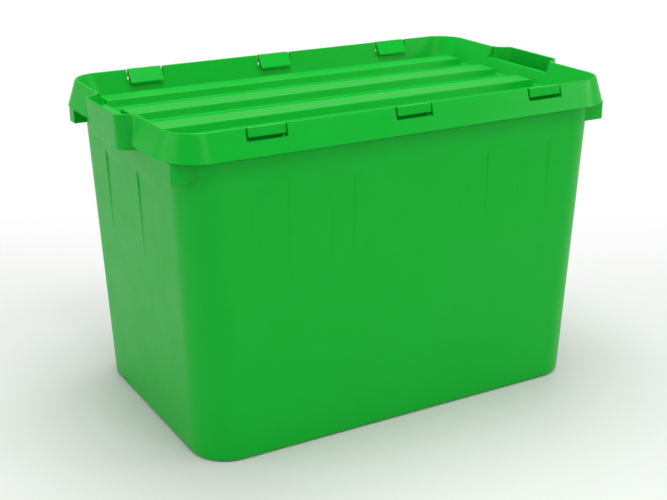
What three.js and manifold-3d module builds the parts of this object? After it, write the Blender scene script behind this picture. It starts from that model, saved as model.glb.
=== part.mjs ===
// Large snap-lid storage tote: a tapered tub with two moulded end handles and
// a one-piece ribbed lid held by six snap tabs. Millimetres, +Z up, +X along
// the length; the origin is the centre of the footprint, on the ground.

import * as THREE from 'three';
import { mergeVertices } from 'three/addons/utils/BufferGeometryUtils.js';
import Module from 'manifold-3d';

const wasm = await Module();
wasm.setup();

// ---------------------------------------------------------------- dimensions

const WALL = 3; // wall thickness of both mouldings
const GAP = 0.3; // clearance between neighbouring solids
const REST_GAP = 0.4; // clearance where the lid and its tabs rest on something
const SLOPED_WALL = 3.2; // the lid's sloping walls, measured level
const PAST = 1; // how far a cutting form runs past the face it cuts
const CORNER_STEPS = 8; // facets in a quarter-round corner

// Rounded-rectangle outlines: half length, half width, corner radius.
const TUB = {
  foot: { length: 302, width: 188, radius: 48 },
  base: { length: 308, width: 194, radius: 54 },
  brim: { length: 325, width: 203, radius: 51 },
};
const FOOT_FILLET = 6; // height of the rounding round the foot
const FOOT_KNEE = 1.8; // its middle ring is this far in and this far up
const BRIM_Z = 424; // tub wall ends here, under the lid's skirt
const FOOT_RING = 22; // width of the ring the tub stands on
const BASE_RECESS = 3; // the middle of the base is raised by this much

const RIM = {
  outer: { length: 334, width: 204.5, radius: 48 },
  flangeTop: 428,
  top: 440,
};

const LID = {
  crest: { length: 335, width: 203, radius: 44 },
  skirt: { length: 348.5, width: 215, radius: 62 },
  floor: { length: 315, width: 190, radius: 32 },
  top: 460,
  floorZ: 424, // upper face of the sunken panel
};
const CREST_LAND = 3; // width of the crest's top

const RIB = { length: 304, width: 19, radius: 4, draft: 3, height: 11.4 };
const RIB_PITCH = 94.8; // four ribs across the panel

const TAB_STATIONS = [-216, 0, 216]; // along each long side
const TAB = {
  halfWidth: 26,
  notch: 28.5, // half width of the gap in the crest that it fills
  saddleTop: 443, // floor of that gap
  faceBottom: 448,
  proud: 2.5, // the top of its face stands this far outside the crest
  chamfer: 1,
  land: 2.5,
  toe: { in: 187, out: 193.2, bottom: 440, top: 442.5 }, // its lower inner edge
  bridge: { in: 195.1, out: 204.5 }, // its underside, over the floor of the gap
};

const HANDLE = {
  outer: 358,
  turn: 335, // outside this its ends slant; inside it they run back to the tub
  flat: 56, // half length of the straight grip wall
  foot: 72, // half length where it meets the tub
  slant: 0.68, // slope of its slanted ends in plan
  lean: 3.2, // the grip wall leans in by this much at its bottom edge
  draw: 4, // and each end by this much
  round: 8, // its corners take up this much of the wall
  bottom: 411,
};
const LID_END = { halfWidth: 74.5, ledge: 333.4 }; // the lid's edge inside a handle
const LID_ENDS = [300, 400]; // a stretch of X that holds one end of the lid
const LID_SIDE = 230; // a Y past the lid's sides

const LUG = { low: 169.5, high: 189.5, root: 270, reach: 339, bottom: 396, taper: 2 };

// Shallow pressed panels: [centre, half width] pairs, lower and upper ends.
const FLUTE_SHARE = 0.3; // their floors take back this share of the wall's lean
const END_FLUTES = { places: [[-60, 29], [60, 29]], bottom: 239, top: 371 };
const SIDE_FLUTES = {
  places: [[-208, 24], [-107, 19], [107, 19], [208, 24]],
  bottom: 244,
  top: 378,
};

// ------------------------------------------------------------ solid modelling

/** A closed three.js geometry as a solid that can be joined and cut. */
function toSolid(geometry) {
  geometry.deleteAttribute('normal');
  geometry.deleteAttribute('uv');
  const merged = mergeVertices(geometry, 1e-4);
  return new wasm.Manifold(new wasm.Mesh({
    numProp: 3,
    vertProperties: new Float32Array(merged.attributes.position.array),
    triVerts: new Uint32Array(merged.index.array),
  }));
}

const join = (first, ...others) => others.reduce((a, b) => a.add(b), first);
const cut = (first, ...others) => others.reduce((a, b) => a.subtract(b), first);

/** A box between two opposite corners. */
function box(low, high) {
  const size = high.map((value, i) => value - low[i]);
  const middle = high.map((value, i) => (value + low[i]) / 2);
  return toSolid(new THREE.BoxGeometry(...size).translate(...middle));
}

/** A box with its X and Y ranges given for the +X or +Y side, and its twin. */
function bothEnds([x0, x1], halfY, [z0, z1]) {
  return join(box([x0, -halfY, z0], [x1, halfY, z1]), box([-x1, -halfY, z0], [-x0, halfY, z1]));
}

/** The points of a rounded rectangle, anticlockwise from its +X side. */
function outlineOf({ length, width, radius }) {
  const points = [];
  [[1, 1], [-1, 1], [-1, -1], [1, -1]].forEach(([signX, signY], quarter) => {
    for (let step = 0; step <= CORNER_STEPS; step++) {
      const angle = (quarter + step / CORNER_STEPS) * Math.PI / 2;
      points.push(new THREE.Vector2(
        signX * (length - radius) + radius * Math.cos(angle),
        signY * (width - radius) + radius * Math.sin(angle),
      ));
    }
  });
  return points;
}

/** The solid skinned over a stack of outlines, [height, points] from low to high. */
function loft(levels) {
  const count = levels[0][1].length;
  const positions = levels.flatMap(([z, points]) => points.flatMap((p) => [p.x, p.y, z]));
  const index = [];
  for (let level = 0; level + 1 < levels.length; level++) {
    for (let i = 0; i < count; i++) {
      const a = level * count + i;
      const b = level * count + (i + 1) % count;
      index.push(a, b, b + count, a, b + count, a + count);
    }
  }
  const lastRing = (levels.length - 1) * count;
  for (const [a, b, c] of THREE.ShapeUtils.triangulateShape(levels[0][1], [])) {
    index.push(a, c, b);
  }
  for (const [a, b, c] of THREE.ShapeUtils.triangulateShape(levels.at(-1)[1], [])) {
    index.push(lastRing + a, lastRing + b, lastRing + c);
  }
  const geometry = new THREE.BufferGeometry();
  geometry.setAttribute('position', new THREE.Float32BufferAttribute(positions, 3));
  geometry.setIndex(index);
  return toSolid(geometry);
}

/** A rounded rectangle grown by a distance on every side; negative shrinks it. */
const grow = ({ length, width, radius }, by) => ({
  length: length + by,
  width: width + by,
  radius: radius + by,
});

/** The rounded rectangle part of the way from one to another, or past it. */
const between = (a, b, t) => ({
  length: THREE.MathUtils.lerp(a.length, b.length, t),
  width: THREE.MathUtils.lerp(a.width, b.width, t),
  radius: THREE.MathUtils.lerp(a.radius, b.radius, t),
});

/** A prism along X of an outline of [y, z] points, centred on x = 0. */
function prismAlongX(points, halfLength) {
  const shape = new THREE.Shape(points.map(([y, z]) => new THREE.Vector2(y, z)));
  const geometry = new THREE.ExtrudeGeometry(shape, {
    depth: 2 * halfLength,
    bevelEnabled: false,
  });
  const toWorld = new THREE.Matrix4().makeBasis(
    new THREE.Vector3(0, 1, 0),
    new THREE.Vector3(0, 0, 1),
    new THREE.Vector3(1, 0, 0),
  );
  return toSolid(geometry.applyMatrix4(toWorld).translate(-halfLength, 0, 0));
}

/** A straight cut-away block over a stretch of height, from a plan outline. */
const slab = (points, z0, z1) => loft([[z0, points], [z1, points]]);

// ------------------------------------------------------------------------ tub

const tubAt = (z) => between(TUB.base, TUB.brim, z / BRIM_Z);

/** The tub's outer form up to a height, grown or shrunk by a distance. */
function tubForm(by, bottom, top) {
  const levels = [[bottom, outlineOf(grow(TUB.foot, by))]];
  levels.push([bottom + FOOT_KNEE, outlineOf(grow(tubAt(0), by - FOOT_KNEE))]);
  levels.push([bottom + FOOT_FILLET, outlineOf(grow(tubAt(FOOT_FILLET), by))]);
  levels.push([top, outlineOf(grow(tubAt(top), by))]);
  return loft(levels);
}

/** Blocks that press the flutes into the wall, deeper towards their upper ends. */
function fluteBlocks(by) {
  const outwards = 12; // the blocks reach this far out, past the wall
  const blocks = [];
  for (const [flutes, wallAt, acrossEnd] of [
    [END_FLUTES, (z) => tubAt(z).length, true],
    [SIDE_FLUTES, (z) => tubAt(z).width, false],
  ]) {
    const { places, bottom, top } = flutes;
    const floorAt = (z) => wallAt(z) - by - FLUTE_SHARE * (wallAt(z) - wallAt(bottom));
    for (const [centre, half] of places) {
      for (const sign of [1, -1]) {
        const level = (z) => {
          const reach = [sign * floorAt(z), sign * (floorAt(z) + outwards)].sort((a, b) => a - b);
          const along = [centre - half - by, centre + half + by];
          const [xs, ys] = acrossEnd ? [reach, along] : [along, reach];
          const corners = [[xs[0], ys[0]], [xs[1], ys[0]], [xs[1], ys[1]], [xs[0], ys[1]]];
          return [z, corners.map(([x, y]) => new THREE.Vector2(x, y))];
        };
        blocks.push(loft([level(bottom - by), level(top + by)]));
      }
    }
  }
  return join(...blocks);
}

function tubShell() {
  const recess = outlineOf(grow(TUB.base, -FOOT_RING - FOOT_FILLET));
  const recessCover = outlineOf(grow(TUB.base, -FOOT_RING - FOOT_FILLET + WALL));
  const top = BRIM_Z - GAP;
  const outside = cut(tubForm(0, 0, top), fluteBlocks(0), slab(recess, -PAST, BASE_RECESS));
  const inside = cut(
    tubForm(-WALL, WALL, top + PAST),
    fluteBlocks(WALL),
    slab(recessCover, 0, BASE_RECESS + WALL),
  );
  return cut(outside, inside);
}

/** Flange and upright lip round the tub's mouth. */
function tubRim() {
  return cut(
    slab(outlineOf(RIM.outer), BRIM_Z, RIM.top),
    slab(outlineOf(grow(RIM.outer, -WALL)), RIM.flangeTop, RIM.top + PAST),
    slab(outlineOf(grow(TUB.brim, -WALL)), BRIM_Z - PAST, RIM.flangeTop + PAST),
  );
}

/** Plan outline of an end handle at a height, shrunk by an inset, from x = inner outwards. */
function handleOutline(inner, inset, z) {
  const down = (LID.top - z) / (LID.top - HANDLE.bottom);
  const grip = HANDLE.outer - HANDLE.lean * down;
  const outer = grip - inset;
  const slantInset = inset * Math.hypot(1, HANDLE.slant);
  const endY = (x) => HANDLE.flat - HANDLE.draw * down + (grip - x) * HANDLE.slant - slantInset;
  const foot = inner < HANDLE.turn
    ? [[inner, HANDLE.foot - inset], [HANDLE.turn, endY(HANDLE.turn)]]
    : [[inner, endY(inner)]];
  const { round } = HANDLE;
  const shape = new THREE.Shape();
  foot.forEach(([x, y], i) => (i ? shape.lineTo(x, -y) : shape.moveTo(x, -y)));
  shape.lineTo(outer - round, -endY(outer - round));
  shape.quadraticCurveTo(outer, -endY(outer), outer, -endY(outer) + round);
  shape.lineTo(outer, endY(outer) - round);
  shape.quadraticCurveTo(outer, endY(outer), outer - round, endY(outer - round));
  foot.reverse().forEach(([x, y]) => shape.lineTo(x, y));
  return shape.getPoints(4);
}

/** One end handle, at +X: a grip wall with slanted ends, carried by a web on the rim. */
function endHandle() {
  const { bottom } = HANDLE;
  const { top } = LID;
  const start = RIM.outer.length + GAP;
  const well = TUB.brim.length - 20; // a place inside the tub's wall
  const beside = HANDLE.foot + 28; // a place past the handle's ends
  const hood = (inner, inset, z0, z1) => loft([
    [z0, handleOutline(inner, inset, z0)],
    [z1, handleOutline(inner, inset, z1)],
  ]);
  const wall = (z0, z1) => cut(
    hood(well, 0, z0, z1),
    hood(well - PAST, WALL, z0 - PAST, z1 + PAST),
  );
  const upper = cut(
    hood(well, 0, BRIM_Z - GAP - PAST, top),
    hood(well - PAST, WALL, RIM.flangeTop, top + PAST),
    box([0, -beside, 0], [start, beside, top + PAST]),
  );
  const web = cut(upper, hood(well - PAST, WALL, 0, BRIM_Z));
  const lower = cut(wall(bottom, BRIM_Z - GAP), tubForm(GAP, 0, BRIM_Z + PAST));
  return join(web, lower);
}

/** A gusset on a corner of the tub, under the lid's skirt. */
function cornerLug(signX, signY) {
  const { low, high, root, reach, bottom, taper } = LUG;
  const top = BRIM_Z - REST_GAP;
  const block = (outer, z) => {
    const xs = [root, outer].map((x) => signX * x).sort((a, b) => a - b);
    const ys = [low, high].map((y) => signY * y).sort((a, b) => a - b);
    const corners = [[xs[0], ys[0]], [xs[1], ys[0]], [xs[1], ys[1]], [xs[0], ys[1]]];
    return [z, corners.map(([x, y]) => new THREE.Vector2(x, y))];
  };
  const gusset = loft([
    block(reach - taper, bottom),
    block(reach, bottom + taper),
    block(reach, top),
  ]);
  return cut(gusset, tubForm(GAP, 0, BRIM_Z + PAST));
}

// ------------------------------------------------------------------------ lid

const LID_HEIGHT = LID.top - LID.floorZ;
const skirtAt = (z) => between(LID.skirt, LID.crest, (z - LID.floorZ) / LID_HEIGHT);
const PAN_MOUTH = grow(LID.crest, -CREST_LAND);
const panAt = (z) => between(LID.floor, PAN_MOUTH, (z - LID.floorZ) / LID_HEIGHT);

/** A form between two heights whose outline at each height is given. */
const formOf = (at, by, z0, z1) => loft([
  [z0, outlineOf(grow(at(z0), by))],
  [z1, outlineOf(grow(at(z1), by))],
]);

/** The space over the lid's sunken panel, and the whole lid as a block. */
const panSpace = formOf(panAt, 0, LID.floorZ, LID.top + PAST);
const lidForm = formOf(skirtAt, 0, LID.floorZ, LID.top);

/** One rib as a solid, standing on a height, shrunk by an inset. */
function ribForm(centreY, inset, z0, z1) {
  const { length, width, radius, draft } = RIB;
  const crown = grow({ length, width, radius }, -inset);
  const foot = grow(crown, draft);
  const shift = (points) => points.map((p) => new THREE.Vector2(p.x, p.y + centreY));
  return loft([[z0, shift(outlineOf(foot))], [z1, shift(outlineOf(crown))]]);
}

function lidPanel() {
  const underside = LID.floorZ - WALL;
  const panBody = formOf(panAt, SLOPED_WALL, underside, LID.top - 1);
  const hollowTop = LID.top - 2; // the skirt and the pan's wall have met below this
  const underSkirt = cut(formOf(skirtAt, -SLOPED_WALL, LID.floorZ - PAST, hollowTop), panBody);
  let lid = cut(join(lidForm, panBody), underSkirt, panSpace);

  // Four long ribs, hollow from below.
  for (const place of [-1.5, -0.5, 0.5, 1.5]) {
    const y = place * RIB_PITCH;
    const crown = LID.floorZ + RIB.height;
    lid = join(lid, ribForm(y, 0, LID.floorZ - PAST, crown));
    lid = cut(lid, ribForm(y, WALL, underside - PAST, crown - WALL));
  }

  // A notch for each snap tab, floored by a saddle that rests on the tub's lip.
  const shellBand = cut(lidForm, panSpace);
  const saddleBottom = RIM.top + REST_GAP;
  for (const x of TAB_STATIONS) {
    const low = [x - TAB.notch, -LID_SIDE];
    const high = [x + TAB.notch, LID_SIDE];
    const saddle = box([...low, saddleBottom], [...high, TAB.saddleTop]);
    lid = join(
      cut(lid, box([...low, TAB.saddleTop], [...high, LID.top + PAST])),
      shellBand.intersect(saddle),
    );
  }

  // Inside each handle the skirt is cut away, down to a ledge on the tub's lip.
  const { halfWidth, ledge } = LID_END;
  const land = bothEnds([LID_ENDS[0], ledge], halfWidth, [saddleBottom, TAB.saddleTop]);
  const away = join(
    cut(bothEnds(LID_ENDS, halfWidth, [underside - PAST, LID.top]), panBody),
    bothEnds(LID_ENDS, halfWidth, [TAB.saddleTop, LID.top + PAST]),
  );
  lid = join(cut(lid, away), shellBand.intersect(land));

  // The skirt's four cut ends are closed, with room for the tub's lip.
  const cutEnd = halfWidth + WALL;
  const lipRoom = [LID_ENDS[0], RIM.outer.length + 2 * GAP];
  const closed = cut(
    bothEnds(LID_ENDS, cutEnd, [LID.floorZ, LID.top]),
    bothEnds(LID_ENDS, halfWidth, [LID.floorZ - PAST, LID.top + PAST]),
    bothEnds(lipRoom, cutEnd + PAST, [LID.floorZ - PAST, RIM.top + PAST]),
  );
  return join(lid, shellBand.intersect(closed));
}

/** One snap tab, on the +Y side: a wedge that fills its notch in the crest. */
function snapTab() {
  const face = (z) => skirtAt(z).width;
  const { faceBottom, proud, chamfer, land, toe, bridge } = TAB;
  const shoulder = LID.top - chamfer;
  const crest = face(LID.top);
  const overSaddle = TAB.saddleTop + REST_GAP;
  const profile = [
    [face(faceBottom), faceBottom],
    [crest + proud, shoulder],
    [crest + proud - chamfer, LID.top],
    [crest - land, LID.top],
    [toe.in + chamfer / 2, toe.top],
    [toe.in, toe.bottom],
    [toe.out, toe.bottom],
    [bridge.in, overSaddle],
    [bridge.out, overSaddle],
  ];
  return prismAlongX(profile, TAB.halfWidth);
}

// ------------------------------------------------------------------- assembly

const GREEN = new THREE.Color(0x1ba834);
const DEEP_GREEN = new THREE.Color(0x159a2d);

/** A named mesh of a solid, in moulded plastic of one colour. */
function meshOf(name, solid, color) {
  const { vertProperties, triVerts } = solid.getMesh();
  const geometry = new THREE.BufferGeometry();
  geometry.setAttribute('position', new THREE.Float32BufferAttribute(vertProperties, 3));
  geometry.setIndex(new THREE.Uint32BufferAttribute(triVerts, 1));
  geometry.computeVertexNormals();
  const mesh = new THREE.Mesh(
    geometry,
    new THREE.MeshStandardMaterial({ color, roughness: 0.45, metalness: 0 }),
  );
  mesh.name = name;
  return mesh;
}

const tote = new THREE.Group();
tote.add(meshOf('tub_shell', tubShell(), GREEN));
tote.add(meshOf('tub_rim', tubRim(), DEEP_GREEN));

for (const [side, turn] of [['right', 0], ['left', Math.PI]]) {
  const handle = meshOf(`end_handle_${side}`, endHandle(), GREEN);
  handle.rotation.z = turn;
  tote.add(handle);
}

for (const [side, signX] of [['left', -1], ['right', 1]]) {
  for (const [depth, signY] of [['front', -1], ['back', 1]]) {
    tote.add(meshOf(`corner_lug_${side}_${depth}`, cornerLug(signX, signY), DEEP_GREEN));
  }
}

const lid = new THREE.Group();
lid.add(meshOf('lid', lidPanel(), GREEN));
for (const [depth, turn] of [['front', Math.PI], ['back', 0]]) {
  ['left', 'middle', 'right'].forEach((place, i) => {
    const tab = meshOf(`snap_tab_${depth}_${place}`, snapTab(), GREEN);
    tab.position.x = TAB_STATIONS[i];
    tab.rotation.z = turn;
    lid.add(tab);
  });
}
tote.add(lid);

export default tote;
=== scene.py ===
# %% [markdown]
# # A snap-lid storage tote
# The real object is two large mouldings in leaf-green polyethylene: a tapered
# tub with an end handle at each end, and a one-piece lid with a sunken, ribbed
# panel. Six snap tabs are moulded to the lid. The working frame is already
# solved, so this lesson only gives every piece its true surface: rounded
# edges, hollow walls and a satin finish. All shapes are worked out in
# millimetres and written to the meshes in metres.

import bpy
import numpy as np
from mathutils import Matrix, Vector


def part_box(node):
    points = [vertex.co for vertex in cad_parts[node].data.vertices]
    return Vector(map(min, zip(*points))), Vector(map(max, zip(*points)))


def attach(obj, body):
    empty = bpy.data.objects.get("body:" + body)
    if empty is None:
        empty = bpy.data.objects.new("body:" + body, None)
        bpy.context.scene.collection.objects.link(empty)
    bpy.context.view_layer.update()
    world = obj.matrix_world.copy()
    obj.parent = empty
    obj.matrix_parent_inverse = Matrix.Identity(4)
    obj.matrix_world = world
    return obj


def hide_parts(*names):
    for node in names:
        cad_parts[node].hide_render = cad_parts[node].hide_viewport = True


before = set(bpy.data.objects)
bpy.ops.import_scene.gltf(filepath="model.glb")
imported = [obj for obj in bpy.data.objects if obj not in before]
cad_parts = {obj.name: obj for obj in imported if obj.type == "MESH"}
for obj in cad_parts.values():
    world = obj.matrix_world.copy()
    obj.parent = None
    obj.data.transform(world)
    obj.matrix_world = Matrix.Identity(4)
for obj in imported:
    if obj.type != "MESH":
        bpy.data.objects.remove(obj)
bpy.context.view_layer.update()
MM = 0.001


def extent(node):
    """The lowest and highest corner of a frame node, in millimetres."""
    low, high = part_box(node)
    return np.array(low) / MM, np.array(high) / MM


lid_low, lid_high = extent("lid")
tub_low, tub_high = extent("tub_shell")

# %% [markdown]
# ## The camera
# The tote is seen from its front left corner, from a little above. The lens
# and the place are plain named values, and the turn is built from a heading, a
# downward pitch and a very small roll, so that each can be read on its own.

# %% Camera
EYE = Vector((-0.8704, -1.5202, 0.8314))
HEADING, PITCH, ROLL = np.radians((29.637, 20.010, -0.153))
LENS_MM, SENSOR_MM = 66.33, 36.0

forward = Vector((np.sin(HEADING) * np.cos(PITCH), np.cos(HEADING) * np.cos(PITCH), -np.sin(PITCH)))
level = Vector((np.cos(HEADING), -np.sin(HEADING), 0.0))
upward = level.cross(forward)
right = level * np.cos(ROLL) + upward * np.sin(ROLL)
top = upward * np.cos(ROLL) - level * np.sin(ROLL)

camera_data = bpy.data.cameras.new("camera")
camera_data.lens, camera_data.sensor_width = LENS_MM, SENSOR_MM
camera_data.clip_start, camera_data.clip_end = 0.05, 50.0
camera = bpy.data.objects.new("camera", camera_data)
turn = Matrix((right, top, -forward)).transposed().to_4x4()
camera.matrix_world = Matrix.Translation(EYE) @ turn
bpy.context.scene.collection.objects.link(camera)
bpy.context.scene.camera = camera
print("camera looks along", [round(v, 3) for v in forward])

# %% [markdown]
# ## Rounded-rectangle outlines
# Every level of the tub and the lid is a rounded rectangle: half length, half
# width and corner radius. Both mouldings are drafted, so the three numbers
# change evenly with height, and an outline at any height is a mix of two.

# %% Outlines
def outline(length, width, radius):
    """Half length, half width and corner radius of a rounded rectangle."""
    return np.array((length, width, radius), float)


def mix(low, high, share):
    """The outline part of the way from one to another, for one share or many."""
    return low + np.multiply.outer(share, high - low)


WALL = 3.0
BASE = outline(308, 194, 54)
BRIM = outline(325, 203, 51)
RIM = outline(334, 204.5, 48)
CREST = outline(335, 203, 44)
SKIRT = outline(348.5, 215, 62)
PANEL = outline(315, 190, 32)
MOUTH = CREST - WALL

LID_TOP = lid_high[2]
BRIM_Z = 424.0
FLANGE_Z, LIP_Z = 428.0, 440.0
LID_DEPTH = LID_TOP - BRIM_Z


def tub_at(z):
    """The tub's outer outline at a height."""
    return mix(BASE, BRIM, np.clip(z, 0, BRIM_Z) / BRIM_Z)


def skirt_at(z):
    """The lid skirt's outer outline at a height."""
    return mix(SKIRT, CREST, (np.clip(z, BRIM_Z, LID_TOP) - BRIM_Z) / LID_DEPTH)


def pan_at(z):
    """The outline of the sunken panel's wall at a height."""
    return mix(PANEL, MOUTH, (np.clip(z, BRIM_Z, LID_TOP) - BRIM_Z) / LID_DEPTH)


print("lid", np.round(lid_high - lid_low, 1), "mm; tub", np.round(tub_high - tub_low, 1), "mm")

# %% [markdown]
# ## One set of stations for every level
# A wall is a profile carried round a rounded rectangle. To keep features such
# as notches upright while the outline grows, each column round the outline
# keeps its own place along the straight sides, and only the last stretch
# before a corner is squeezed to meet the corner's arc.

# %% Columns round an outline
REACH = np.array((315.0, 158.0))  # stations run this far along X and along Y
KEPT = np.array((250.0, 130.0))  # up to here a station is a true distance
ARC_STEPS = 14


def squeeze(station, half, axis):
    """Keeps a station up to KEPT, and spreads the rest evenly so that REACH lands on half."""
    beyond = np.clip(np.abs(station) - KEPT[axis], 0, None) / (REACH[axis] - KEPT[axis])
    kept = np.clip(station, -KEPT[axis], KEPT[axis])
    return kept + np.sign(station) * beyond * (half - KEPT[axis])


def stations(reach, edges, near, step):
    """Places from -reach to reach, a step apart, with finer ones at each edge's offsets."""
    even = np.linspace(-reach, reach, int(2 * reach / step) + 1)
    clear = np.abs(even[:, None] - np.asarray(edges)[None, :]).min(1) > np.abs(near).max() + 1
    clear[[0, -1]] = True
    fine = np.add.outer(edges, near).ravel()
    return np.unique(np.round(np.concatenate((even[clear], fine, [0])), 4))


def columns(along_x, along_y):
    """Station and angle of each column, anticlockwise from the lower end of the +X side.

    A column is (s, v, angle): its arc centre lies at stations s and v, and the
    outline point is one corner radius away from that centre, at that angle. The
    last two results are the stations and angles of the +X side alone.
    """
    arc = np.linspace(0, np.pi / 2, ARC_STEPS + 1)[1:]
    rise_v = np.concatenate((-REACH[1] + 0 * arc, along_y, REACH[1] + 0 * arc))
    rise_angle = np.concatenate((-arc[::-1], 0 * along_y, arc))
    s = np.concatenate((
        REACH[0] + 0 * rise_v,
        along_x[-2::-1],
        -REACH[0] + 0 * rise_v[1:],
        along_x[1:-1],
    ))
    v = np.concatenate((
        rise_v,
        REACH[1] + 0 * along_x[1:],
        rise_v[-2::-1],
        -REACH[1] + 0 * along_x[1:-1],
    ))
    angle = np.concatenate((
        rise_angle,
        np.pi / 2 + 0 * along_x[1:],
        np.pi - rise_angle[-2::-1],
        -np.pi / 2 + 0 * along_x[1:-1],
    ))
    return s, v, angle, rise_v, rise_angle


print("a station is a true distance up to", KEPT.tolist(), "mm along X and Y")

# %% [markdown]
# A column becomes a point once it is given an outline: the arc's centre, plus
# the corner radius in the column's direction. Rows of such points are joined
# by quads, and rounded edges and soft transitions share the two small helpers.

# %% Points and quads
def place(levels, s, v, angle):
    """Points of outlines: centre (squeezed stations) plus radius times (cos, sin) of the angle."""
    length, width, radius = levels[..., 0], levels[..., 1], levels[..., 2]
    x = squeeze(s, length - radius, 0) + radius * np.cos(angle)
    y = squeeze(v, width - radius, 1) + radius * np.sin(angle)
    return x, y


def straight_parts(angle):
    """Which columns lie on the straight ends, facing X, and which on the straight sides."""
    return np.abs(np.sin(angle)) < 1e-9, np.abs(np.cos(angle)) < 1e-9


def smooth(t):
    """An even S-shaped step from 0 to 1."""
    t = np.clip(t, 0, 1)
    return t * t * (3 - 2 * t)


def quarter(steps=4):
    """Angles that step round a rounded edge, without its first one."""
    return np.linspace(0, np.pi / 2, steps + 1)[1:]


def bands(count_rows, count_columns, closed=True):
    """Quads between neighbouring rows of a grid of points, wrapping round when closed."""
    row = np.arange(count_rows - 1)[:, None] * count_columns
    col = np.arange(count_columns if closed else count_columns - 1)[None, :]
    after = (col + 1) % count_columns
    above = row + count_columns
    return np.stack((row + col, above + col, above + after, row + after), -1).reshape(-1, 4)


print("a band between two rows of 8 columns has", len(bands(2, 8)), "quads")

# %% [markdown]
# ## Putting a surface into a mesh
# Each piece is an array of points and a list of faces. The helper writes them
# at once, shades them smooth but keeps true creases sharp, weights the normals
# by area so that wide flat walls stay flat next to their small roundings, and
# tells the frame which body the piece moves with.

# %% Mesh helper
CREASE = np.radians(38)


def make_piece(name, points, faces, body, slot, replaced):
    """A mesh object from points in millimetres and faces, riding a body and standing for nodes."""
    mesh = bpy.data.meshes.new(name)
    places = (np.asarray(points) * MM).tolist()
    mesh.from_pydata(places, [], [tuple(map(int, face)) for face in faces])
    mesh.validate()
    mesh.polygons.foreach_set("use_smooth", np.ones(len(mesh.polygons), bool))
    mesh.set_sharp_from_angle(angle=CREASE)
    piece = bpy.data.objects.new(name, mesh)
    bpy.context.scene.collection.objects.link(piece)
    weighted = piece.modifiers.new("even_normals", "WEIGHTED_NORMAL")
    weighted.keep_sharp = True
    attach(piece, body)
    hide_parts(*replaced)
    print(f"{name}: {len(mesh.polygons)} faces")
    return piece


print("edges that turn more than", round(float(np.degrees(CREASE))), "degrees stay sharp")

# %% [markdown]
# ## The tub
# The tub is one moulding with a wall of even thickness. It could be a box with
# a solidify modifier, but the real wall turns into a foot ring below and into
# a flange and an upright lip above, so here one profile runs from the middle of
# the floor, up the inside, over the lip, down the outside and under the base,
# and is carried once round the outline.

# %% Tub profile
FOOT_ROUND, LIP_ROUND, BEND_ROUND = 6.0, 1.2, 1.5
BEND_Z = 426.5  # above this the wall's inside bends out under the lid
RIM_MIDDLE_Z, RIM_LOW_Z, RIM_ROUND = 434.0, 425.0, 1.0
# Pairs of distance past the outline and height, for the raised middle of the
# floor down to its outer trough, and for the base from its standing ring inwards.
FLOOR_STEPS = ((-31, 6), (-27.5, 6), (-26.2, 5.3), (-25, 3.6), (-23.6, 3), (-16, 3))
BASE_STEPS = ((-12, 0), (-27, 0), (-28, 0.4), (-28.6, 1.6), (-29, 2.6), (-30, 3), (-33, 3))
FLUTE_ROWS = np.concatenate((np.linspace(239, 360, 9), np.arange(363, 386, 1.6)))
WALL_ROWS = np.concatenate((np.linspace(16, 232, 7), FLUTE_ROWS, np.linspace(390, 421, 4)))


def tub_profile():
    """Rows of (outline, height) from the middle of the floor round to the middle of the base."""
    arc = quarter(6)
    rows = []

    def add(form, by, z):
        rows.append(np.append(np.asarray(form) + by, z))

    for by, z in FLOOR_STEPS:
        add(BASE, by, z)
    for t in arc:
        add(BASE, -WALL - FOOT_ROUND * (1 - np.sin(t)), WALL + FOOT_ROUND * (1 - np.cos(t)))
    for z in WALL_ROWS:
        add(tub_at(z), -WALL, z)
    add(BRIM, -WALL, BEND_Z - 0.5)
    for t in quarter(3):
        add(BRIM, -WALL + BEND_ROUND * (1 - np.cos(t)), BEND_Z + BEND_ROUND * np.sin(t))
    add(RIM, -WALL - 1, FLANGE_Z)
    add(RIM, -WALL, FLANGE_Z + 1)
    for z in (RIM_MIDDLE_Z, LIP_Z - LIP_ROUND):
        add(RIM, -WALL, z)
    for t in quarter():
        add(RIM, -WALL + LIP_ROUND * (1 - np.cos(t)), LIP_Z - LIP_ROUND * (1 - np.sin(t)))
    for t in (0, *quarter()):
        add(RIM, -LIP_ROUND * (1 - np.sin(t)), LIP_Z - LIP_ROUND * (1 - np.cos(t)))
    for z in (RIM_MIDDLE_Z, FLANGE_Z, RIM_LOW_Z):
        add(RIM, 0, z)
    for t in quarter():
        add(RIM, -RIM_ROUND + RIM_ROUND * np.cos(t), RIM_LOW_Z - RIM_ROUND * np.sin(t))
    for by, down in ((1.2, 0), (0.3, 0.3), (0, 1.2)):
        add(BRIM, by, BRIM_Z - down)
    for z in WALL_ROWS[::-1]:
        add(tub_at(z), 0, z)
    add(tub_at(FOOT_ROUND), 0, FOOT_ROUND + 2)
    for t in (0, *arc):
        add(BASE, -FOOT_ROUND * (1 - np.cos(t)), FOOT_ROUND * (1 - np.sin(t)))
    for by, z in BASE_STEPS:
        add(BASE, by, z)
    return np.array(rows)


print("tub profile:", len(tub_profile()), "rows")

# %% [markdown]
# Four shallow flutes are pressed into each side wall and two into each end.
# A flute starts flush at its lower end and grows slowly deeper upwards, with
# crisp upright flanks, and fades out softly at the top.

# %% Flutes
END_FLUTES = dict(middles=(-60, 60), halves=(29, 29), bottom=239, top=371)
SIDE_FLUTES = dict(middles=(-208, -107, 107, 208), halves=(24, 19, 19, 24), bottom=244, top=378)
FLUTE_SHARE = 0.3  # a flute's floor takes back this share of the wall's lean
FLUTE_EDGE, FLUTE_FADE = 1.2, 16.0  # width of its flanks, and height of its soft upper end
FLANK_STATIONS = np.array((-1.6, -0.6, -0.3, 0.0, 0.3, 0.6, 1.6))  # columns about a flank
PLAIN_STEP = 12  # distance between the other columns


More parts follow.
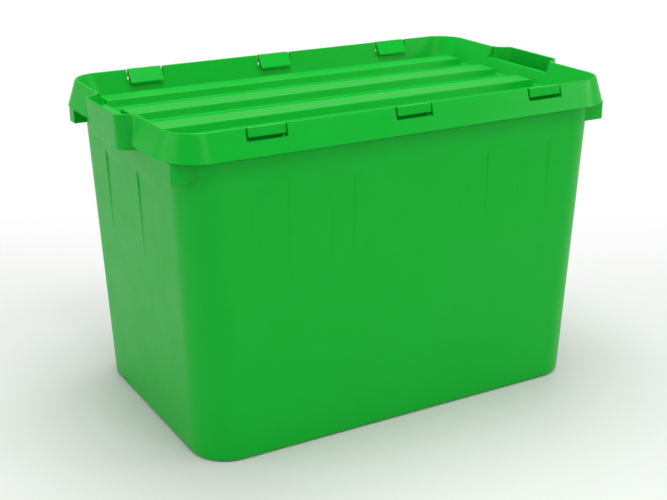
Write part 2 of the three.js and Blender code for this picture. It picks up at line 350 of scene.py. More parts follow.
def flute_depth(place_along, z, middles, halves, bottom, top, lean):
    """Depth = lean times height above the bottom, inside smooth masks across and at the top."""
    across = sum(
        smooth((half - np.abs(place_along - middle)) / FLUTE_EDGE + 0.5)
        for middle, half in zip(middles, halves))
    upright = np.clip(z - bottom, 0, None) * lean * FLUTE_SHARE
    return across * upright * smooth((top - z) / FLUTE_FADE + 0.5)


def flute_edges(middles, halves, **_):
    """Both edges of every flute."""
    return np.sort([
        middle + side * half for middle, half in zip(middles, halves) for side in (-1, 1)])


def build_tub():
    """The tub's rows of points, flutes pressed in, and the quads and two flat caps over them."""
    along_x = stations(REACH[0], flute_edges(**SIDE_FLUTES), FLANK_STATIONS, PLAIN_STEP)
    along_y = stations(REACH[1], flute_edges(**END_FLUTES), FLANK_STATIONS, PLAIN_STEP)
    s, v, angle, _, _ = columns(along_x, along_y)
    rows = tub_profile()
    z = rows[:, 3:4] + 0 * s
    x, y = place(rows[:, None, :3], s, v, angle)
    lean = (BRIM - BASE) / BRIM_Z
    on_end, on_side = straight_parts(angle)
    x -= np.sign(x) * on_end * flute_depth(y, z, lean=lean[0], **END_FLUTES)
    y -= np.sign(y) * on_side * flute_depth(x, z, lean=lean[1], **SIDE_FLUTES)
    points = np.stack((x, y, z), -1).reshape(-1, 3)
    count = len(s)
    faces = bands(len(rows), count).tolist()
    faces.append(np.arange(count))
    faces.append((len(rows) - 1) * count + np.arange(count)[::-1])
    return points, faces


tub = make_piece("tub_moulding", *build_tub(), "tub", "tub_plastic", ["tub_shell", "tub_rim"])

# %% [markdown]
# ## The lid's panel
# The sunken panel has four long ribs with flat tops, drafted sides and square
# ends. It is a height over the plan: for each rib the height falls off with the
# distance past its edge along X and along Y, and the lower of the two counts.
# Grid lines are placed where the fall-off bends, so few of them are needed.

# %% Panel with ribs
PAN_Z = 424.0
RIB_HALF = np.array((304.0, 19.0))  # half length and half width of a rib's flat top
RIB_HEIGHT = 11.4
RIB_MIDDLES = 94.8 * np.array((-1.5, -0.5, 0.5, 1.5))
FALL = np.array((  # distance past the edge of the flat top, share of the rib's height
    (-4.0, 1.0), (-1.4, 1.0), (-0.6, 0.985), (-0.1, 0.94), (0.25, 0.86), (0.6, 0.74),
    (1.5, 0.44), (2.3, 0.18), (2.7, 0.085), (3.2, 0.03), (3.9, 0.006), (4.8, 0.0)))
UNDER_SHIFT = 2.7  # the hollow under a rib is this much narrower on each side


def rib_height(x, y, shift=0.0):
    """Height times the lower of the two fall-offs, for the nearest of the four ribs."""
    across = np.abs(y[..., None] - RIB_MIDDLES).min(-1) - RIB_HALF[1] + shift
    along = np.abs(x) - RIB_HALF[0] + shift
    share = [np.interp(distance, FALL[:, 0], FALL[:, 1]) for distance in (across, along)]
    return RIB_HEIGHT * np.minimum(*share)


def pan_grid(form, z, along_x, rise_v, rise_angle, shift):
    """A grid over the panel: rows follow the corner arcs, columns are squeezed between the ends."""
    length, width, radius = form
    y = squeeze(rise_v, width - radius, 1) + radius * np.sin(rise_angle)
    half = length - radius + radius * np.cos(rise_angle)
    x = squeeze(along_x[None, :], half[:, None], 0)
    y = y[:, None] + 0 * x
    return np.stack((x, y, z + rib_height(x, y, shift)), -1)


print("each rib's flat top is", (2 * RIB_HALF).tolist(), "mm, and", RIB_HEIGHT, "mm high")

# %% [markdown]
# ## The lid's edge
# Round the panel the wall rises to a narrow crest, turns over and comes down
# outside the tub's lip as a flared skirt, hollow behind. In six places a notch
# holds a snap tab, and at each end the skirt stops beside the handle. Both are
# the same profile with its upper rows laid flat, so the lid stays one closed
# skin: at a notch the rows drop to a saddle, and at a handle they drop to a
# ledge that rests on the tub's lip.

# %% Lid edge
SLOPED = 3.2  # the sloping walls, measured level
EDGE_ROUND = 1.0
SADDLE_TOP, SADDLE_LOW = 443.0, 440.4
PAN_ROUND = 3.0  # radius where the panel meets its wall
CREST_ROWS = (446.5, 452.0, 457.5)  # heights of the rows between a saddle and the crest
HOLLOW_ROWS = (SADDLE_LOW, 446.5, 451.5)  # the same inside the hollow edge
APEX_Z = 454.3  # top of that hollow
TAB_MIDDLES = np.array((-216.0, 0.0, 216.0))
NOTCH = 28.5
LID_END = 74.5
LEDGE_X = 333.4  # the ledge under a handle's well reaches this far out
LIP_ROOM_X = 334.7  # beside a handle the skirt's closed end stands clear of the lip from here
LIP_ROOM_Z = 426.0  # and above here
CLOSING = 3.0  # thickness of the wall that closes the hollow edge beside a cut
CUT_ROUND = 0.9  # rounding of the edges beside a notch or a handle
HAIR = 0.01  # half the width of an upright step between two columns
CUT_STATIONS = np.array((  # columns past the edge of a notch or a handle
    -1.5, -HAIR, HAIR, 0.15, 0.45, CUT_ROUND, CLOSING - HAIR, CLOSING + HAIR, 5))
NO_CUT = 99.0  # stands for the distance of a column that has no cut near
PAN, OUTER, INNER, UNDER = range(4)  # what a row belongs to


def lid_profile():
    """Rows of outline, height, kind and outward normal in the profile's own plane."""
    rows = []

    def add(form, by, z, kind, out=0.0, up=0.0):
        rows.append(np.concatenate((np.asarray(form) + by, (z, kind, out, up))))

    add(PANEL, -PAN_ROUND, PAN_Z, PAN)
    for t in quarter():
        z = PAN_Z + PAN_ROUND * (1 - np.cos(t))
        add(pan_at(z), -PAN_ROUND * (1 - np.sin(t)), z, PAN)
    for z in (429, 436, SADDLE_LOW, SADDLE_TOP, *CREST_ROWS, LID_TOP - EDGE_ROUND):
        add(pan_at(z), 0, z, PAN, -1, 0)
    for t in quarter():
        by = EDGE_ROUND * (1 - np.cos(t))
        add(MOUTH, by, LID_TOP - EDGE_ROUND * (1 - np.sin(t)), PAN, -np.cos(t), np.sin(t))
    for t in (0, *quarter()):
        by = -EDGE_ROUND * (1 - np.sin(t))
        add(CREST, by, LID_TOP - EDGE_ROUND * (1 - np.cos(t)), OUTER, np.sin(t), np.cos(t))
    for z in (*CREST_ROWS[::-1], SADDLE_TOP, SADDLE_LOW, 434, 428.5, 425.5):
        add(skirt_at(z), 0, z, OUTER, 1, 0)
    for t in quarter():
        by = -EDGE_ROUND * (1 - np.cos(t))
        add(SKIRT, by, BRIM_Z + EDGE_ROUND * (1 - np.sin(t)), OUTER, np.cos(t), -np.sin(t))
    for t in (0, *quarter()):
        by = -SLOPED + EDGE_ROUND * (1 - np.sin(t))
        add(SKIRT, by, BRIM_Z + EDGE_ROUND * (1 - np.cos(t)), INNER)
    for z in (428.5, 434, *HOLLOW_ROWS):
        add(skirt_at(z), -SLOPED, z, INNER)
    add((skirt_at(APEX_Z) + pan_at(APEX_Z)) / 2, 0, APEX_Z, INNER)
    for z in (*HOLLOW_ROWS[::-1], 434, 427, PAN_Z):
        add(pan_at(z), SLOPED, z, UNDER)
    for t in quarter():
        by = SLOPED - WALL * (1 - np.cos(t))
        add(PANEL, by, PAN_Z - WALL * np.sin(t), UNDER)
    return np.array(rows)


print("lid profile:", len(lid_profile()), "rows")

# %% [markdown]
# Beside the handle the skirt's end is cut on a slant, its crest swings out to
# meet the handle's curved wall, and its lower edge swings in a little. Each is
# a smooth shift that fades out along the skirt.

# %% Shifts of the skirt beside a handle
SEAM_TOP_Y, SEAM_LOW_Y = 71.4, 78.0  # where the cut end lies, at the crest and at the lower edge
SWING_OUT, SWING_OUT_FROM = 4.5, 84.0
SWING_IN, SWING_IN_FROM = 3.0, 108.0
SLANT_FADE = 26.0  # the cut's slant fades out over this length of skirt
LEDGE_KEPT, LEDGE_FADE = 55.0, 18.0  # and towards the ledge, which stays put up to here


def seam_y(z):
    """Where the skirt's cut end lies at a height."""
    rise = (np.clip(z, BRIM_Z, LID_TOP) - BRIM_Z) / LID_DEPTH
    return SEAM_LOW_Y + (SEAM_TOP_Y - SEAM_LOW_Y) * rise


def beside_handle(x, y, z, kind):
    """Slants the skirt's cut end, and swings its crest out and its lower edge in."""
    far = np.abs(y)
    fade = smooth((SWING_IN_FROM - far) / SLANT_FADE) * smooth((far - LEDGE_KEPT) / LEDGE_FADE)
    y = y + np.sign(y) * fade * (seam_y(z) - LID_END)
    rise = (np.clip(z, BRIM_Z, LID_TOP) - BRIM_Z) / LID_DEPTH
    far = np.abs(y)
    out = np.clip((SWING_OUT_FROM - far) / (SWING_OUT_FROM - SEAM_TOP_Y), 0, 1) ** 2
    inward = np.clip((SWING_IN_FROM - far) / (SWING_IN_FROM - SEAM_LOW_Y), 0, 1) ** 2
    swing = SWING_OUT * rise * out - SWING_IN * (1 - rise) * inward
    return x + np.sign(x) * swing * ((kind == OUTER) | (kind == INNER)), y


def edge_inset(distance):
    """How far a surface sinks at a distance from a rounded edge: a quarter circle."""
    rest = CUT_ROUND - np.clip(distance, 0, CUT_ROUND)
    return CUT_ROUND - np.sqrt(CUT_ROUND ** 2 - rest ** 2)


print("skirt's cut end at the crest and at its lower edge:", seam_y(LID_TOP), seam_y(BRIM_Z), "mm")

# %% [markdown]
# The lid needs fine columns beside each cut and over each rib's sides, and few
# elsewhere. Its edge is then worked out as one array of rows by columns, and
# welded to an upper and a lower grid over the panel.

# %% Lid
LID_STEP, RIB_STEP = 16.0, 10.0  # distance between the plain columns along X and along Y


def lid_stations():
    """Where the lid's columns stand along X and along Y."""
    notch_edges = np.add.outer(TAB_MIDDLES, (-NOTCH, NOTCH))
    notches = np.concatenate([
        np.add.outer(TAB_MIDDLES, side * (NOTCH + CUT_STATIONS)).ravel() for side in (-1, 1)])
    rib_ends = np.concatenate([side * (RIB_HALF[0] + FALL[:, 0]) for side in (-1, 1)])
    even = np.arange(-240, 241, LID_STEP)
    clear = np.abs(even[:, None] - notch_edges.ravel()).min(1) > 6
    along_x = np.unique(np.round(np.concatenate((
        even[clear], notches, rib_ends, (-REACH[0], -285, -270, 270, 285, REACH[0]))), 4))
    ribs = np.concatenate([middle + side * (RIB_HALF[1] + FALL[:, 0])
                           for middle in RIB_MIDDLES for side in (-1, 1)])
    ribs = np.concatenate((ribs[np.abs(ribs) < REACH[1]], RIB_MIDDLES, (-REACH[1], REACH[1])))
    ends = np.concatenate([side * (LID_END + CUT_STATIONS) for side in (-1, 1)])
    bends = np.outer((-1, 1), (SEAM_TOP_Y, SWING_OUT_FROM)).ravel()
    along_y = np.unique(np.round(np.concatenate((
        ribs, ends, np.arange(-100, 101, RIB_STEP), bends)), 4))
    return along_x, along_y


def lid_edge(rows, s, v, angle):
    """The profile's rows at every column, laid flat and closed off in notches and at handles."""
    z = rows[:, 3:4] + 0 * s
    kind = rows[:, 4:5].astype(int)
    on_end, on_side = straight_parts(angle)
    from_tab = np.abs(s[None, :] - TAB_MIDDLES[:, None]).min(0)
    notch_far = np.where(on_side, from_tab - NOTCH, NO_CUT)
    handle_far = np.where(on_end, np.abs(v) - LID_END, NO_CUT)

    # Round the edges beside each cut, above the saddle only.
    raised = smooth((rows[:, 3:4] - SADDLE_TOP) / 2)
    beside = np.where(notch_far > 0, edge_inset(notch_far), 0) * raised
    beside = beside + (np.where(handle_far > 0, edge_inset(handle_far), 0)
                       * np.maximum(raised, kind == OUTER))
    levels = rows[:, None, :3] - (beside * rows[:, 5:6])[..., None]
    x, y = place(levels, s, v, angle)
    z = z - beside * rows[:, 6:7]
    x, y = np.where(on_end, beside_handle(x, y, z, kind), (x, y))

    over, below = (kind == PAN) | (kind == OUTER), (kind == INNER) | (kind == UNDER)
    z = np.where((notch_far < 0) & over, np.minimum(z, SADDLE_TOP), z)
    z = np.where((notch_far < CLOSING) & below, np.minimum(z, SADDLE_LOW), z)

    at_handle = handle_far < 0
    closing = (handle_far < CLOSING) & ~at_handle
    x = np.where(at_handle, np.clip(x, -LEDGE_X, LEDGE_X), x)
    z = np.where(at_handle & over, np.minimum(z, SADDLE_TOP), z)
    z = np.where(at_handle & (kind == OUTER), np.maximum(z, SADDLE_LOW), z)
    z = np.where(at_handle & (kind == INNER), SADDLE_LOW, z)
    z = np.where((at_handle | closing) & (kind == UNDER), np.minimum(z, SADDLE_LOW), z)
    at_lip = closing & (kind == INNER) & (rows[:, 3:4] > LIP_ROOM_Z)
    x = np.where(at_lip, np.sign(x) * LIP_ROOM_X, x)
    z = np.where(at_lip, np.minimum(z, SADDLE_LOW), z)

    return np.stack((x, y, z), -1)


edge_columns = columns(*lid_stations())
print("the lid's edge has", len(edge_columns[0]), "columns")

# %% [markdown]
# The panel's grids end in the same columns as the edge, so the border of each
# grid is the edge's first or last row, point by point. The faces use one set of
# numbers for both, and no doubles have to be merged.

# %% Lid as one skin
def build_lid():
    """The panel's two grids and the rows between them, welded along both of their borders."""
    along_x, along_y = lid_stations()
    s, v, angle, rise_v, rise_angle = columns(along_x, along_y)
    rows = lid_profile()
    ring = lid_edge(rows, s, v, angle)
    upper = pan_grid(PANEL - PAN_ROUND, PAN_Z, along_x, rise_v, rise_angle, 0.0)
    lower = pan_grid(rows[-1, :3], PAN_Z - WALL, along_x, rise_v, rise_angle, UNDER_SHIFT)
    high, wide = upper.shape[:2]
    index = np.arange(high * wide).reshape(high, wide)
    border = np.concatenate((index[:, -1], index[-1, -2::-1], index[-2::-1, 0], index[0, 1:-1]))
    middle = ring[1:-1]
    count = ring.shape[1]
    offset = high * wide
    points = np.concatenate([part.reshape(-1, 3) for part in (upper, middle, lower)])
    last = offset + middle.shape[0] * count
    inner_ids = offset + np.arange(middle.shape[0] * count).reshape(-1, count)
    ids = np.concatenate((border[None], inner_ids, last + border[None]))
    flat = bands(high, wide, closed=False)
    after = np.roll(ids, -1, axis=1)
    sides = np.stack((ids[:-1], ids[1:], after[1:], after[:-1]), -1).reshape(-1, 4)
    return points, np.concatenate((flat[:, ::-1], sides, last + flat)).tolist()


lid = make_piece("lid_moulding", *build_lid(), "lid", "lid_plastic", ["lid"])

# %% [markdown]
# ## The end handles
# A handle is a hand-width wall that stands off the tub's end, carried by a flat
# web that parts an open trough above from the finger space below. It could be
# an extruded curve, but its wall leans in at the bottom, so each level gets its
# own path. Seen from above the path runs straight, turns a rounded corner,
# slants back and curves into the tub.

# %% Handle path
handle_low, handle_high = extent("end_handle_right")
GRIP_X, HANDLE_TOP, HANDLE_LOW = handle_high[0], handle_high[2], handle_low[2]
CORNER_Y, CORNER_ROUND = 57.0, 10.0
SLANT = np.arctan2(1, 0.575)  # how far the path turns at its corner
CURVE_MIDDLE, CURVE_ROUND = np.array((355.0, 81.7)), 20.0
LEAN, DRAW = 3.2, 4.0  # the bottom edge is this much further in, along X and along Y
DRAW_FROM, DRAW_OVER = 15.0, 40.0  # where along Y that drawing in begins, and its length
STRAIGHT_Y = np.array((0, 15, 30, 42, 48, 50.5))  # columns of the straight part
GRIP_WALL = 3.0
SEAM_GAP = 0.7  # between the handle and the lid's skirt
ROOT = 1.5  # handles and lugs reach this far into the tub's wall, so that no gap shows


def walk(inset, heading):
    """Points of the rounded corner: its centre, plus the radius less the inset at a heading."""
    tangent = CORNER_ROUND * np.tan(SLANT / 2)
    middle = np.array((GRIP_X - CORNER_ROUND, CORNER_Y - tangent))
    reach = CORNER_ROUND - inset
    return middle + reach * np.stack((np.cos(heading), np.sin(heading)), -1)


def turn_back(inset, heading):
    """Points of the arc that turns the wall into the tub, from its centre outside the wall."""
    reach = CURVE_ROUND + inset
    return CURVE_MIDDLE - reach * np.stack((np.cos(heading), np.sin(heading)), -1)


def half_path(z, inset):
    """The wall's face at a height, from the grip's middle to the tub, for one half."""
    down = (HANDLE_TOP - z) / (HANDLE_TOP - HANDLE_LOW)
    straight = np.stack((GRIP_X - inset + 0 * STRAIGHT_Y, STRAIGHT_Y), -1)
    corner = walk(inset, np.linspace(0, SLANT, 9))
    start = turn_back(inset, SLANT)
    line = corner[-1] + np.linspace(0, 1, 5)[1:, None] * (start - corner[-1])
    if z >= BRIM_Z:
        across = CURVE_MIDDLE[1] + DRAW * down - seam_y(z) + SEAM_GAP
        stop = np.arcsin(across / (CURVE_ROUND + inset))
        curve = turn_back(inset, np.linspace(SLANT, stop, 9)[1:])
    else:
        back = np.array((-np.sin(SLANT), np.cos(SLANT)))
        into_wall = (tub_at(z)[0] - ROOT + LEAN * down - start[0]) / back[0]
        curve = start + np.linspace(0, 1, 9)[1:, None] * into_wall * back
    path = np.concatenate((straight, corner, line, curve))
    drawn = smooth((path[:, 1] - DRAW_FROM) / DRAW_OVER)
    return path - down * np.stack((LEAN + 0 * drawn, DRAW * drawn), -1)


def whole_path(z, inset):
    """Both halves of the wall's face at a height, from -Y to +Y, at that height."""
    half = half_path(z, inset)
    both = np.concatenate((half[:0:-1] * (1, -1), half))
    return np.column_stack((both, np.full(len(both), z)))


print("a handle's wall has", len(whole_path(HANDLE_TOP, 0.0)), "columns")

# %% [markdown]
# The wall's section is a tall, narrow loop: down the outside, round the lower
# edge, up the inside, round the top. It is carried along the path, and its two
# ends are closed. The web is a second loop, a flat plate between the tub's rim
# and the inside of the wall.

# %% Handle
GRIP_ROWS = (450, 440, 430, BRIM_Z, BRIM_Z - HAIR, 418)  # heights of the wall's rows, downwards


def loop_faces(rings, count):
    """Quads round a closed loop carried along a path, with both ends closed."""
    faces = bands(rings, count).tolist()
    faces.append(list(range(count)))
    faces.append([(rings - 1) * count + i for i in reversed(range(count))])
    return faces


def build_handle(side):
    """The wall and the web of one handle; side is 1 for the +X end and -1 for the other."""
    half_wall = GRIP_WALL / 2
    turns = np.linspace(0, np.pi, 9)
    section = [(0.0, z) for z in (HANDLE_TOP - half_wall, *GRIP_ROWS, HANDLE_LOW + half_wall)]
    for t in turns[1:]:
        section.append((half_wall * (1 - np.cos(t)), HANDLE_LOW + half_wall * (1 - np.sin(t))))
    section += [(GRIP_WALL, z) for z in (*GRIP_ROWS[::-1], HANDLE_TOP - half_wall)]
    for t in turns[1:-1]:
        section.append((half_wall * (1 + np.cos(t)), HANDLE_TOP - half_wall * (1 - np.sin(t))))
    wall = np.stack([whole_path(z, inset) for inset, z in section], 1)

    top_path = whole_path(FLANGE_Z, half_wall)
    low_path = whole_path(BRIM_Z, half_wall)
    start = RIM[0] + 0.1
    near = [np.column_stack((np.full(len(path), start), path[:, 1:]))
            for path in (top_path, low_path)]
    web = np.stack((near[0], top_path, low_path, near[1]), 1)

    points = np.concatenate((wall.reshape(-1, 3), web.reshape(-1, 3)))
    faces = loop_faces(wall.shape[0], wall.shape[1])
    shift = wall.shape[0] * wall.shape[1]
    faces += [[index + shift for index in face] for face in loop_faces(web.shape[0], 4)]
    if side < 0:
        points = points * (-1, -1, 1)
    return points, faces


handles = [
    make_piece(f"handle_{name}", *build_handle(side), "tub", "tub_plastic", [f"end_handle_{name}"])
    for name, side in (("right", 1), ("left", -1))]

# %% [markdown]
# ## Snap tabs
# Each snap tab is a wedge that fills its notch in the lid's crest and bends on
# the thin strip that joins it to the panel's wall. Its outline across the lid
# is a closed loop with every corner rounded, carried along the lid's length and
# drawn in at both ends, as a moulded edge is.

# %% Rounded loops
def rounded_loop(corners, radii, steps=4):
    """Each corner of a closed outline swapped for an arc that touches both of its sides."""
    corners = np.asarray(corners, float)
    loop = []
    neighbours = zip(np.roll(corners, 1, 0), corners, np.roll(corners, -1, 0), radii)
    for before, here, after, radius in neighbours:
        one = (before - here) / np.linalg.norm(before - here)
        two = (after - here) / np.linalg.norm(after - here)
        half = np.arccos(np.clip(one @ two, -1, 1)) / 2
        middle = here + (one + two) / np.linalg.norm(one + two) * radius / np.sin(half)
        first = here + one * radius / np.tan(half) - middle
        last = here + two * radius / np.tan(half) - middle
        share = np.linspace(0, 1, steps + 1)[:, None]
        turned = np.arccos(np.clip(first @ last / radius ** 2, -1, 1))
        arc = np.sin((1 - share) * turned) * first + np.sin(share * turned) * last
        loop.append(middle + arc / np.sin(turned))
    return np.concatenate(loop)


def drawn_in(loop, depth):
    """A loop (anticlockwise) moved towards its inside along its own normals."""
    along = np.roll(loop, -1, 0) - np.roll(loop, 1, 0)
    normal = np.stack((along[:, 1], -along[:, 0]), -1)
    return loop - depth * normal / np.linalg.norm(normal, axis=1, keepdims=True)


def end_steps(start, stop, rounding, margin, inner):
    """Places from start to stop and the depth drawn in at each: a quarter circle at both ends."""
    t = np.concatenate(([0], quarter(3)))
    places = np.concatenate((
        start + rounding * (1 - np.cos(t)),
        np.linspace(start + margin, stop - margin, inner),
        stop - rounding * (1 - np.cos(t[::-1])),
    ))
    depths = rounding * (1 - np.sin(t))
    return places, np.concatenate((depths, np.zeros(inner), depths[::-1]))


square = rounded_loop(((0, 0), (1, 0), (1, 1), (0, 1)), (0.2,) * 4)
print("a square with rounded corners has", len(square), "points")

# %% Snap tab
TAB_FACE_LOW = 448.0
TAB_PROUD = 2.5  # the top of its face stands this far outside the crest
TAB_LAND = 2.8  # its flat top reaches this far inside the crest
TAB_RADII = (0.4, 0.5, 0.8, 0.8, 0.8, 0.8, 1.0, 1.2, 0.8)


def build_tab(middle, side):
    """One tab's loop across the lid, carried along X; side is 1 at the back and -1 in front."""
    low, high = extent("snap_tab_back_middle")
    crest = CREST[1]
    corners = [
        (187.2, 440.0), (193.2, 440.0),  # the toe, inside the panel's wall
        (195.1, 443.4), (199.4, 443.4),  # the strip over the saddle, which bends
        (200.6, TAB_FACE_LOW), (skirt_at(TAB_FACE_LOW)[1] - 0.1, TAB_FACE_LOW),  # over the slot
        (crest + TAB_PROUD, LID_TOP), (crest - TAB_LAND, LID_TOP),  # the face's top, and the land
        (187.5, 442.5)]
    half = (high[0] - low[0]) / 2
    loop = rounded_loop(corners, TAB_RADII)
    rings = [np.column_stack((np.full(len(loop), at), drawn_in(loop, depth)))
             for at, depth in zip(*end_steps(-half, half, 0.7, 1.6, 3))]
    points = np.concatenate(rings)
    if side < 0:
        points = points * (-1, -1, 1)
    faces = [face[::-1] for face in loop_faces(len(rings), len(rings[0]))]
    return points + (middle, 0, 0), faces


tabs = [
    make_piece(f"tab_{depth}_{name}", *build_tab(middle, side), f"snap_tab_{depth}_{name}",
               "lid_plastic", [f"snap_tab_{depth}_{name}"])
    for depth, side in (("front", -1), ("back", 1))
    for name, middle in zip(("left", "middle", "right"), TAB_MIDDLES)]

# %% [markdown]
# ## Corner lugs
# Under the skirt each corner of the tub carries a plain block that stiffens the
# corner and reaches out almost as far as the lid's edge. It is a section
# along X and Z carried across the corner, with its root following the tub's
# rounded wall so that nothing shows inside the tub.

# %% Corner lug
def tub_x(y, z):
    """The X of the tub's outer wall at a place across it: an arc of the outline's corner."""
    length, width, radius = tub_at(z)
    off = np.clip(np.abs(y) - (width - radius), 0, radius)
    return length - radius + np.sqrt(radius ** 2 - off ** 2)


def build_lug(node):
    """The block's rounded section at several places along Y, rooted in the tub's wall."""
    low, high = extent(node)
    side = np.sign(low[0] + high[0])
    reach, bottom, top_z = max(abs(low[0]), abs(high[0])), low[2], high[2]
    rings = []
    for y, depth in zip(*end_steps(low[1], high[1], 1.0, 3.0, 5)):
        root = tub_x(y, bottom) - ROOT
        corners = [(root, bottom + depth), (reach - depth, bottom + depth),
                   (reach - depth, top_z - depth), (root, top_z - depth)]
        loop = rounded_loop(corners, (0.3, 1.2, 0.6, 0.3))
        rings.append(np.column_stack((loop[:, 0], np.full(len(loop), y), loop[:, 1])))
    points = np.concatenate(rings) * (side, 1, 1)
    faces = loop_faces(len(rings), len(rings[0]))
    return points, faces if side > 0 else [face[::-1] for face in faces]


lugs = [
    make_piece(f"lug_{name}", *build_lug(f"corner_lug_{name}"), "tub", "tub_plastic",
               [f"corner_lug_{name}"])
    for name in ("left_front", "left_back", "right_front", "right_back")]

# %% [markdown]
# ## Green polyethylene
# Both mouldings are injection-moulded polyethylene, coloured in the mass. Its
# index of refraction is about 1.53. The steel mould is finely spark-eroded, so
# the surface is satin: light spreads softly, and a grain well under a
# millimetre breaks up the highlights. Wide, slow waves in the wall, from the
# way the plastic shrinks, and faint rub marks keep it from looking computed.

# %% Node helpers
def linear(hex_colour):
    """An sRGB hex colour as linear red, green, blue and alpha."""
    values = np.array([int(hex_colour[i:i + 2], 16) for i in (1, 3, 5)]) / 255
    curve = np.where(values <= 0.04045, values / 12.92, ((values + 0.055) / 1.055) ** 2.4)
    return (*curve.tolist(), 1.0)


def add_node(tree, kind, inputs=(), **settings):
    """A node with its settings; an input is a number or colour, or the socket that feeds it."""
    node = tree.nodes.new(kind)
    for key, value in settings.items():
        setattr(node, key, value)
    for key, value in dict(inputs).items():
        if isinstance(value, bpy.types.NodeSocket):
            tree.links.new(value, node.inputs[key])
        else:
            node.inputs[key].default_value = value
    return node


def per_metre(size_mm):
    """The noise scale whose features repeat about once in this many millimetres."""
    return 1.0 / (size_mm * MM)


print("the tub's green in linear light:", [round(v, 3) for v in linear("#01A628")[:3]])

# %% [markdown]
# The grain of the real mould is about 0.1 mm, too fine to show at this
# distance, so it is drawn 0.9 mm wide. The wall's waves are 60 mm wide, and the
# rub marks are noise stretched along the walls' length. The specular level is
# far below the usual 0.5, because the real skin is too rough to mirror the
# bright room, and a full reflection would grey its strong green.

# %% Green polyethylene
GRAIN_MM = 0.9
WAVE_MM = 60.0
RUB_MM = 7.0
RUB_STRETCH = (0.12, 0.5, 1.0)
IOR, SPECULAR = 1.53, 0.15


def green_polyethylene(name, body_hex, pale_hex, roughness):
    """Satin moulded polyethylene: slow colour and gloss variation, grain, waves and rub marks."""
    material = bpy.data.materials.new(name)
    material.use_nodes = True
    tree = material.node_tree
    tree.nodes.clear()
    place_in = add_node(tree, "ShaderNodeTexCoord").outputs["Object"]
    clouds = add_node(tree, "ShaderNodeTexNoise", {
        "Vector": place_in, "Scale": per_metre(WAVE_MM),
        "Detail": 3.0, "Roughness": 0.55}).outputs["Fac"]
    grain = add_node(tree, "ShaderNodeTexNoise", {
        "Vector": place_in, "Scale": per_metre(GRAIN_MM),
        "Detail": 2.0, "Roughness": 0.6}).outputs["Fac"]
    drawn_out = add_node(tree, "ShaderNodeMapping", {
        "Vector": place_in, "Scale": RUB_STRETCH}).outputs["Vector"]
    rubs = add_node(tree, "ShaderNodeTexNoise", {
        "Vector": drawn_out, "Scale": per_metre(RUB_MM),
        "Detail": 5.0, "Roughness": 0.7}).outputs["Fac"]
    rub_mask = add_node(tree, "ShaderNodeMapRange", {
        "Value": rubs, "From Min": 0.60, "From Max": 0.78,
        "To Min": 0.0, "To Max": 0.35}).outputs["Result"]
    base = add_node(tree, "ShaderNodeMix", {
        "Factor": clouds, "A": linear(body_hex), "B": linear(pale_hex)},
        data_type="RGBA").outputs["Result"]
    gloss = add_node(tree, "ShaderNodeMapRange", {
        "Value": clouds, "From Min": 0.3, "From Max": 0.7,
        "To Min": roughness - 0.04, "To Max": roughness + 0.05}).outputs["Result"]
    rubbed = add_node(tree, "ShaderNodeMath", {0: rub_mask, 1: 0.25, 2: gloss},
                      operation="MULTIPLY_ADD").outputs["Value"]
    waves = add_node(tree, "ShaderNodeBump", {
        "Height": clouds, "Strength": 0.25, "Distance": 0.0012})
    skin = add_node(tree, "ShaderNodeBump", {
        "Height": grain, "Strength": 0.22, "Distance": 0.00012, "Normal": waves.outputs["Normal"]})
    shader = add_node(tree, "ShaderNodeBsdfPrincipled", {
        "Base Color": base, "Roughness": rubbed, "IOR": IOR, "Specular IOR Level": SPECULAR,
        "Normal": skin.outputs["Normal"]})
    add_node(tree, "ShaderNodeOutputMaterial", {"Surface": shader.outputs["BSDF"]})
    print(name, "base", [round(c, 3) for c in linear(body_hex)[:3]])
    return material


tub_green = green_polyethylene("moulded_polyethylene_tub", "#01A628", "#02AA2C", 0.36)
lid_green = green_polyethylene("moulded_polyethylene_lid", "#01A829", "#02AC2D", 0.32)
for piece in (tub, *handles, *lugs):
    piece.data.materials.append(tub_green)
for piece in (lid, *tabs):
    piece.data.materials.append(lid_green)

# %% [markdown]
# ## Floor and light
# The tote stands on a plain pale floor. Behind it the floor fades into a
# self-lit white glow: painted light that stands in for the brightly lit
# backdrop. The light is a bright overcast studio: a near-white surround, one
# very large soft panel overhead, one in front and above, one on the left and a
# small one on the right, whose reflection lies on the skirt's right front
# corner. One thin strip in front lies as a line on the left front corner.

# %% Floor
FLOOR_SIZE = 14.0
WHITE = (1.0, 1.0, 1.0, 1.0)
PAINTED_GLOW_FROM, PAINTED_GLOW_TO = 0.05, 0.85  # where the painted white glow fades in: along the heading, metres past the tote's middle
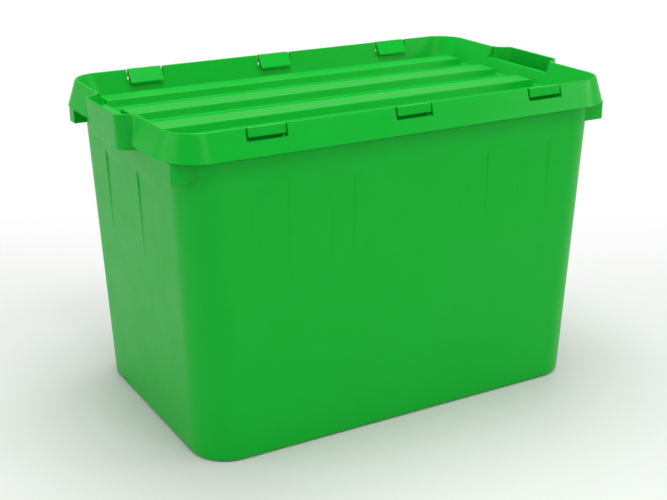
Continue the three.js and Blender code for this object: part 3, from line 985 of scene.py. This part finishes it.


def build_floor():
    """One large square whose pale grey paint fades into a painted white glow along the view's
    heading.
    """
    half = FLOOR_SIZE / 2
    mesh = bpy.data.meshes.new("floor")
    corners = [(-half, -half, 0), (half, -half, 0), (half, half, 0), (-half, half, 0)]
    mesh.from_pydata(corners, [], [(0, 1, 2, 3)])
    floor = bpy.data.objects.new("floor", mesh)
    bpy.context.scene.collection.objects.link(floor)
    material = bpy.data.materials.new("pale_floor_with_painted_glow")
    material.use_nodes = True
    tree = material.node_tree
    tree.nodes.clear()
    place_in = add_node(tree, "ShaderNodeTexCoord").outputs["Object"]
    along = add_node(tree, "ShaderNodeVectorMath", {
        0: place_in, 1: (np.sin(HEADING), np.cos(HEADING), 0.0)},
        operation="DOT_PRODUCT").outputs["Value"]
    # painted light: this mask blends the floor's paint into the painted white glow, further along
    # the heading
    fade = add_node(tree, "ShaderNodeMapRange", {
        "Value": along, "From Min": PAINTED_GLOW_FROM, "From Max": PAINTED_GLOW_TO},
        interpolation_type="SMOOTHSTEP")
    paint = add_node(tree, "ShaderNodeBsdfPrincipled", {
        "Base Color": linear("#D6D7D5"), "Roughness": 0.6, "Specular IOR Level": 0.2})
    # painted light: the floor glows white though it is no lamp, standing in for the brightly lit
    # backdrop
    painted_backdrop_glow = add_node(tree, "ShaderNodeEmission", {"Color": WHITE, "Strength": 1.0})
    both = add_node(tree, "ShaderNodeMixShader", {
        "Fac": fade.outputs["Result"], 1: paint.outputs["BSDF"], 2: painted_backdrop_glow.outputs["Emission"]})
    add_node(tree, "ShaderNodeOutputMaterial", {"Surface": both.outputs["Shader"]})
    mesh.materials.append(material)
    print("floor fades to white from", PAINTED_GLOW_FROM, "to", PAINTED_GLOW_TO, "m past the middle")


build_floor()

# %% Lights
LOOK_AT = Vector((0.0, 0.0, 0.3))
ROOM_STRENGTH = 0.45


def panel_light(name, place_at, size, watts):
    """A flat soft light, width by height, that faces the tote."""
    data = bpy.data.lights.new(name, "AREA")
    data.shape, data.energy = "RECTANGLE", watts
    data.size, data.size_y = size
    light = bpy.data.objects.new(name, data)
    light.location = place_at
    light.rotation_euler = (LOOK_AT - Vector(place_at)).to_track_quat("-Z", "Y").to_euler()
    bpy.context.scene.collection.objects.link(light)
    print(name, watts, "W")


panel_light("overhead", (0.2, 0.4, 3.2), (2.2, 2.2), 72)
panel_light("left", (-3.4, 0.5, 1.15), (3.0, 2.1), 33)
panel_light("front", (-0.3, -2.3, 4.1), (2.6, 1.2), 57)
panel_light("front_strip", (-0.36, -3.1, 1.75), (0.09, 1.5), 12)
panel_light("right", (2.85, -2.05, 1.3), (1.0, 0.6), 23)

world = bpy.data.worlds.new("bright_room")
bpy.context.scene.world = world
world.use_nodes = True
background = world.node_tree.nodes["Background"]
background.inputs["Color"].default_value = WHITE
background.inputs["Strength"].default_value = ROOM_STRENGTH
bpy.context.scene.view_settings.view_transform = "Standard"  # no film curve over the greens
print("room strength", ROOM_STRENGTH)
